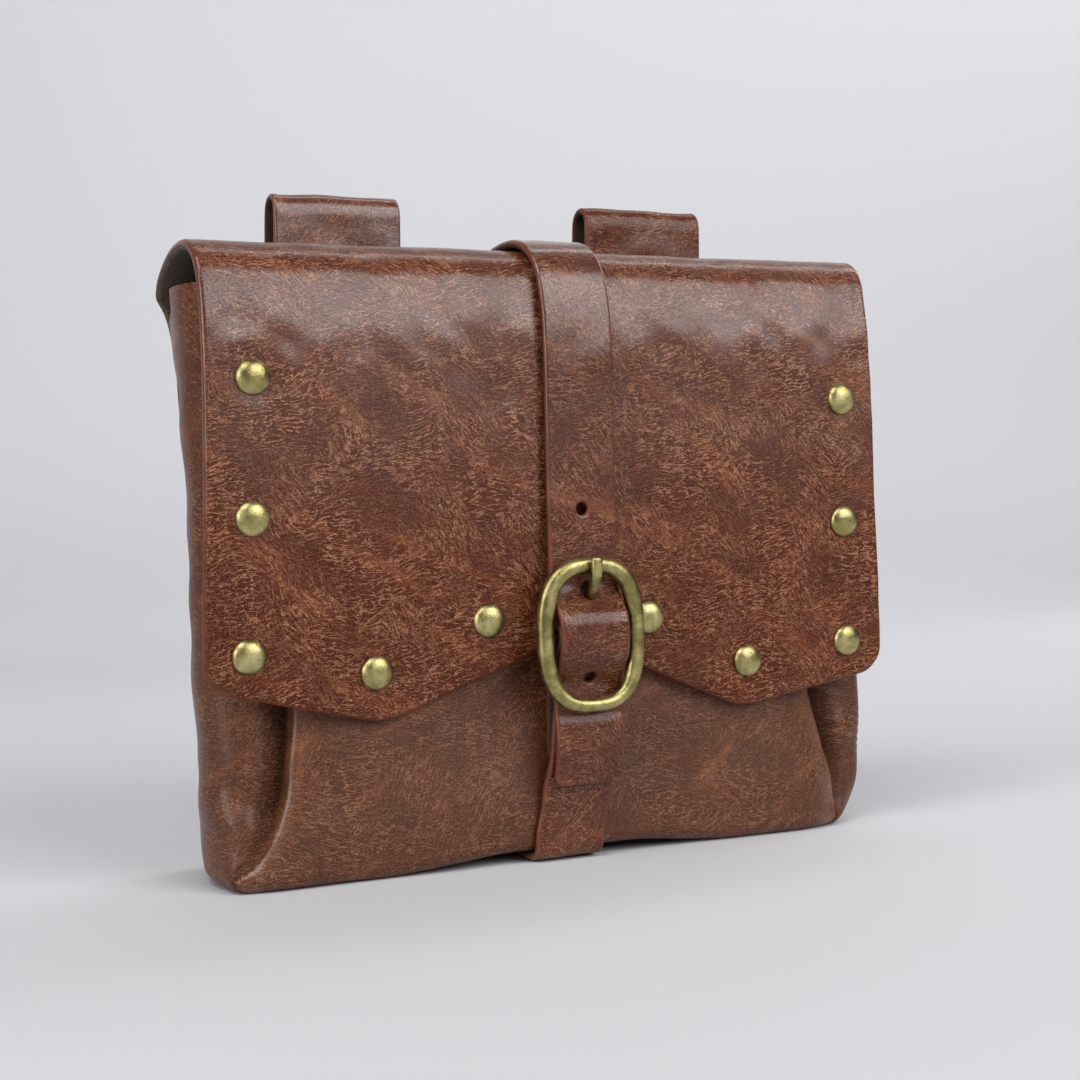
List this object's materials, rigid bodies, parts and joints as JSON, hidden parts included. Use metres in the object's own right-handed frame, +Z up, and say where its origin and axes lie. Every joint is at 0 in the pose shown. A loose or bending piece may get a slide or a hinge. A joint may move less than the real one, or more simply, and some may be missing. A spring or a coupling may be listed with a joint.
{
  "type": "medieval belt pouch",
  "caption": "Leather belt pouch with a pointed flap, gusseted body, buckled closing strap, domed rivets and two belt loops on the back.",
  "frame": {"origin": "on the floor under the middle of the pouch's box", "axes": "+Z up, +X to the right seen from the front, -Y out of the front of the pouch, +Y towards the belt"},
  "size_m": [0.18, 0.0628, 0.165],
  "materials": {
    "flap_leather": "red-brown crackled leather, satin",
    "body_leather": "red-brown crackled leather, soft satin",
    "strap_leather": "red-brown crackled leather, satin",
    "loop_leather": "red-brown crackled leather, satin",
    "aged_brass": "antique olive brass, soft polish"
  },
  "bodies": {
    "root": {"back_and_flap": "flap_leather", "pouch_body": "body_leather", "closing_strap": "strap_leather", "buckle_strap": "strap_leather", "belt_loop_left": "loop_leather", "belt_loop_right": "loop_leather", "buckle_frame": "aged_brass", "buckle_prong": "aged_brass", "flap_rivet_left_top": "aged_brass", "flap_rivet_left_side": "aged_brass", "flap_rivet_left_corner": "aged_brass", "flap_rivet_left_point": "aged_brass", "flap_rivet_left_inner": "aged_brass", "flap_rivet_right_top": "aged_brass", "flap_rivet_right_side": "aged_brass", "flap_rivet_right_corner": "aged_brass", "flap_rivet_right_point": "aged_brass", "flap_rivet_right_inner": "aged_brass", "loop_rivet_left_lower": "aged_brass", "loop_rivet_left_upper": "aged_brass", "loop_rivet_right_lower": "aged_brass", "loop_rivet_right_upper": "aged_brass", "closing_strap_rivet": "aged_brass", "buckle_strap_rivet": "aged_brass", "strap_return_rivet": "aged_brass"}
  },
  "joints": []
}
